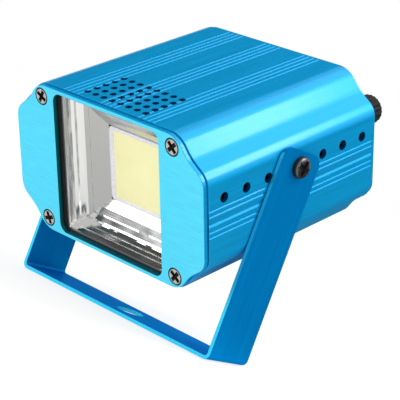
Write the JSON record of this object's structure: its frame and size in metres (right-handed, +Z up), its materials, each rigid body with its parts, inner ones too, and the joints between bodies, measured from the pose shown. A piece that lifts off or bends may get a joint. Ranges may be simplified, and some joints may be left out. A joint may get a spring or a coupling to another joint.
{
  "type": "strobe light",
  "caption": "Small strobe light: a square faceted reflector and a flat LED in an extruded metal housing that tilts in a U-shaped bracket, with a speed knob at the back.",
  "frame": {"origin": "on the surface that the bracket's base stands on, in the middle of the object's outline seen from above", "axes": "+Z up from the bracket's base, -Y towards the front window, +X to the side of the speed knob; at rest the head points 30 degrees below level"},
  "size_m": [0.0984, 0.097, 0.1047],
  "materials": {
    "housing_blue": "satin",
    "plate_cyan": "satin",
    "bracket_blue": "satin",
    "zinc_steel": "satin",
    "dark_nickel": "satin",
    "black_rubber": "matte",
    "black_plastic": "satin",
    "reflector_silver": "polished",
    "white_plastic": "satin",
    "phosphor_yellow": "satin",
    "bare_aluminium": "matte",
    "laminate_green": "satin",
    "ferrite": "matte",
    "capacitor_sleeve": "gloss",
    "black_epoxy": "matte",
    "fuse_glass": "gloss",
    "terminal_green": "satin",
    "wire_red": "satin",
    "wire_black": "satin",
    "ribbon_grey": "satin"
  },
  "bodies": {
    "stand": {"bracket": "bracket_blue"},
    "head": {"housing_extrusion": "housing_blue", "front_plate": "plate_cyan", "rear_plate": "plate_cyan", "front_screw_1": "zinc_steel", "front_screw_2": "zinc_steel", "front_screw_3": "zinc_steel", "front_screw_4": "zinc_steel", "rear_screw_1": "zinc_steel", "rear_screw_2": "zinc_steel", "rear_screw_3": "zinc_steel", "rear_screw_4": "zinc_steel", "pivot_screw_left": "dark_nickel", "pivot_screw_right": "dark_nickel", "pivot_washer_left": "zinc_steel", "pivot_washer_right": "zinc_steel", "pivot_nut_left": "zinc_steel", "pivot_nut_right": "zinc_steel", "window_gasket": "black_rubber", "reflector": "reflector_silver", "led_phosphor": "phosphor_yellow", "led_dam": "white_plastic", "led_board": "bare_aluminium", "led_screw_1": "zinc_steel", "led_screw_2": "zinc_steel", "led_screw_3": "zinc_steel", "led_screw_4": "zinc_steel", "heat_spreader": "bare_aluminium", "led_wire_positive": "wire_red", "led_wire_negative": "wire_black", "driver_board": "laminate_green", "transformer": "ferrite", "input_capacitor": "capacitor_sleeve", "output_capacitor": "capacitor_sleeve", "bridge_rectifier": "black_epoxy", "switching_transistor": "black_epoxy", "timer_chip": "black_epoxy", "fuse": "fuse_glass", "terminal_block": "terminal_green", "potentiometer_body": "bare_aluminium", "potentiometer_nut": "zinc_steel", "control_ribbon": "ribbon_grey", "cable_grommet": "black_rubber"},
    "knob": {"speed_knob": "black_plastic", "potentiometer_shaft": "zinc_steel"}
  },
  "joints": [
    {"name": "head_tilt", "type": "hinge", "parent": "stand", "child": "head", "pos_m": [0, -0.00308, 0.0678], "axis": [1, 0, 0], "range_deg": [-120, 60]},
    {"name": "speed_knob_turn", "type": "hinge", "parent": "head", "child": "knob", "pos_m": [0.0312, 0.03165, 0.08785], "axis": [0, 0.866, 0.5], "range_deg": [-150, 150]}
  ]
}
